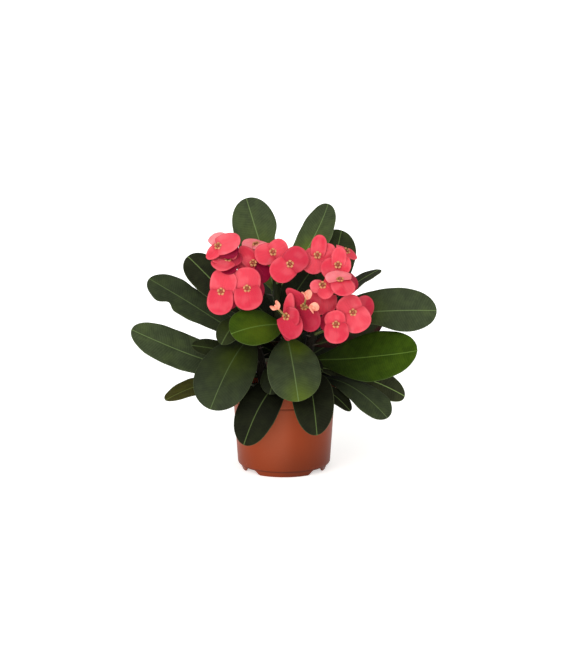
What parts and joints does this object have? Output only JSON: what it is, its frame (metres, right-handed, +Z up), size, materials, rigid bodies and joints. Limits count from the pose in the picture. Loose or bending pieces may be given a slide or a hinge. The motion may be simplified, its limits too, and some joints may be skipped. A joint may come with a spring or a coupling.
{
  "type": "potted crown of thorns plant",
  "caption": "Crown of thorns in bloom in a round terracotta-coloured plastic nursery pot, with thorny stems, paddle-shaped leaves and clusters of paired round red bracts.",
  "frame": {"origin": "middle of the pot's foot, on the surface it stands on; the box of the whole plant is centred over it to within 2 mm", "axes": "+Z up, +X to the right of the front view, where the plant is widest, and -Y towards the front, where the blooms face"},
  "size_m": [0.3292, 0.2011, 0.2914],
  "materials": {
    "pot": "satin, moulded polypropylene",
    "soil": "matt, crumbly potting mix",
    "stem": "matt grey-brown bark with thorns",
    "leaf": "satin, leathery leaf",
    "stalk": "satin, soft green stalk",
    "bract": "satin, waxy bract"
  },
  "bodies": {
    "root": {"pot": "pot", "soil": "soil", "stem_left": "stem", "stem_back": "stem", "stem_right": "stem", "stem_front": "stem", "leaf_01": "leaf", "leaf_02": "leaf", "leaf_03": "leaf", "leaf_04": "leaf", "leaf_05": "leaf", "leaf_06": "leaf", "leaf_07": "leaf", "leaf_08": "leaf", "leaf_09": "leaf", "leaf_10": "leaf", "leaf_11": "leaf", "leaf_12": "leaf", "leaf_13": "leaf", "leaf_14": "leaf", "leaf_15": "leaf", "leaf_16": "leaf", "leaf_17": "leaf", "leaf_18": "leaf", "leaf_19": "leaf", "leaf_20": "leaf", "leaf_21": "leaf", "leaf_22": "leaf", "leaf_23": "leaf", "leaf_24": "leaf", "leaf_25": "leaf", "leaf_26": "leaf", "leaf_27": "leaf", "stalk_a": "stalk", "stalk_b": "stalk", "stalk_c": "stalk", "stalk_d": "stalk", "stalk_e": "stalk", "bloom_a1": "bract", "bloom_a2": "bract", "bloom_a3": "bract", "bloom_a4": "bract", "bloom_a5": "bract", "bloom_a6": "bract", "bloom_a7": "bract", "bloom_b1": "bract", "bloom_b2": "bract", "bloom_c1": "bract", "bloom_c2": "bract", "bloom_c3": "bract", "bloom_c4": "bract", "bloom_c5": "bract", "bloom_c6": "bract", "bloom_d1": "bract", "bloom_d2": "bract", "bloom_d3": "bract", "bloom_e1": "bract", "bloom_e2": "bract", "bloom_e3": "bract"}
  },
  "joints": []
}
